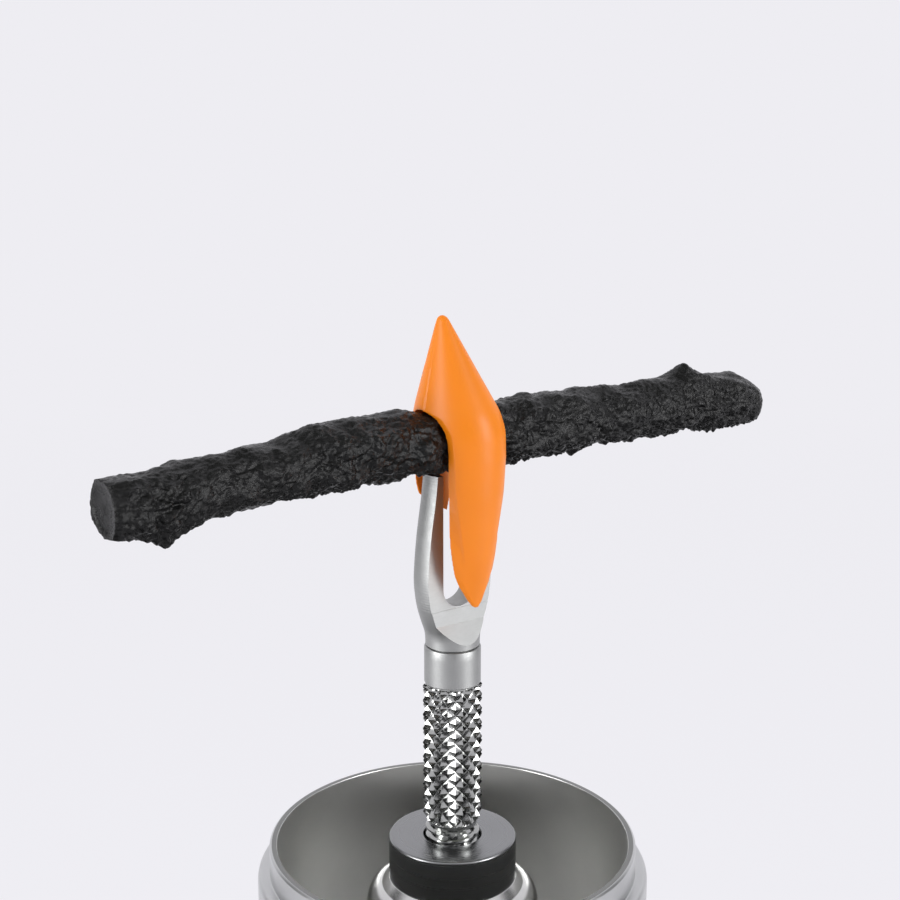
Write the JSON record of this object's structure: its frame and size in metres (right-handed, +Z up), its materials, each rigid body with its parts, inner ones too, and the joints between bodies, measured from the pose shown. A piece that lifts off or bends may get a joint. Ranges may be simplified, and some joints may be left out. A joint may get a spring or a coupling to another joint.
{
  "type": "tyre plug insertion tool",
  "caption": "Canister-handled tyre plug tool: a forked, knurled push rod stands in an open cup and carries a rope plug threaded through a pointed moulded nose.",
  "frame": {"origin": "centre of the end cap's flat face that the tool stands on", "axes": "+Z up along the handle and push rod; X along the rope plug; the fork's milled flats face -Y and +Y"},
  "size_m": [0.0562, 0.0284, 0.1272],
  "materials": {
    "handle_aluminium": "satin",
    "cap_aluminium": "satin",
    "polished_steel": "polished",
    "dark_anodised": "satin",
    "fork_steel": "machined",
    "knurl_steel": "polished knurl",
    "zinc_steel": "zinc plated",
    "orange_plastic": "gloss",
    "tarred_rope": "rough, tarry",
    "seal_rubber": "matt",
    "rack_plastic": "matt"
  },
  "bodies": {
    "handle": {"handle_body": "handle_aluminium", "post_seal": "seal_rubber", "hub_post": "polished_steel", "hub_bush": "dark_anodised", "post_washer": "zinc_steel", "post_nut": "zinc_steel"},
    "push_rod": {"knurled_shank": "knurl_steel", "fork_head": "fork_steel"},
    "nose": {"nose_tip": "orange_plastic"},
    "plug": {"rope_plug": "tarred_rope"},
    "cap": {"end_cap": "cap_aluminium", "cap_oring": "seal_rubber", "plug_rack": "rack_plastic", "spare_rope_plugs": "tarred_rope", "spare_nose_tips": "orange_plastic"}
  },
  "joints": [
    {"name": "rod_unscrew", "type": "hinge", "parent": "handle", "child": "push_rod", "pos_m": [0, 0, 0.085], "axis": [0, 0, 1], "range_deg": [0, 1800]},
    {"name": "nose_release", "type": "slide", "parent": "push_rod", "child": "nose", "axis": [0, 0, 1], "range_m": [0, 0.03]},
    {"name": "plug_thread", "type": "slide", "parent": "nose", "child": "plug", "axis": [1, 0, 0], "range_m": [-0.024, 0.022]},
    {"name": "cap_release", "type": "slide", "parent": "handle", "child": "cap", "axis": [0, 0, -1], "range_m": [0, 0.062]}
  ]
}
